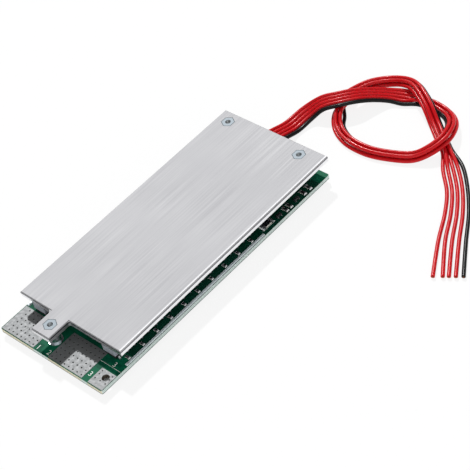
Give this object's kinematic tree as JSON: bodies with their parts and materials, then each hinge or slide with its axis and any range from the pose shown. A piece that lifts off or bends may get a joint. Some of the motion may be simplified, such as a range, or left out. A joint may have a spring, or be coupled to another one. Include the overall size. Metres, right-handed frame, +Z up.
{
  "type": "battery management board",
  "caption": "Battery management circuit board under a flat aluminium heatsink plate on clinched standoffs, with loose sense wires in one open knot.",
  "frame": {"origin": "on the surface that the three screw heads stand on, under the middle of the board and plate together", "axes": "+Y along the board towards the end where the wires leave, +X across it, +Z up out of the heatsink plate"},
  "size_m": [0.1445, 0.2122, 0.0135],
  "materials": {
    "plate": "mill finish, fine lengthwise rolling marks",
    "zinc_steel": "bright zinc plate",
    "laminate": "green solder mask, glossy",
    "solder": "tinned copper, satin",
    "moulding": "matt black moulding compound",
    "lead_metal": "tin-plated leads",
    "thermal_silicone": "matt grey silicone",
    "chip_resistor": "black glass over ceramic, tinned ends",
    "chip_capacitor": "tan ceramic, tinned ends",
    "wire_red": "soft red insulation with a sheen",
    "wire_black": "soft black insulation with a sheen"
  },
  "bodies": {
    "root": {"heatsink_plate": "plate", "standoff_front": "zinc_steel", "standoff_back_left": "zinc_steel", "standoff_back_right": "zinc_steel", "screws": "zinc_steel", "circuit_board": "laminate", "battery_pad": "solder", "load_pad": "solder", "charge_pad": "solder", "solder_bus_left": "solder", "solder_bus_right": "solder", "mosfet_bodies_left": "moulding", "mosfet_bodies_right": "moulding", "mosfet_leads_left": "lead_metal", "mosfet_leads_right": "lead_metal", "thermal_strip_left": "thermal_silicone", "thermal_strip_right": "thermal_silicone", "gate_resistors": "chip_resistor", "shunt_resistors": "chip_resistor", "protection_ic": "moulding", "protection_ic_leads": "lead_metal", "balance_transistors": "moulding", "balance_resistors": "chip_resistor", "chip_capacitors": "chip_capacitor", "edge_resistors": "chip_resistor", "edge_transistors": "moulding", "edge_shunt": "chip_resistor", "wire_joints": "solder", "wire_black": "wire_black", "wire_red_1": "wire_red", "wire_red_2": "wire_red", "wire_red_3": "wire_red", "wire_red_4": "wire_red"}
  },
  "joints": []
}
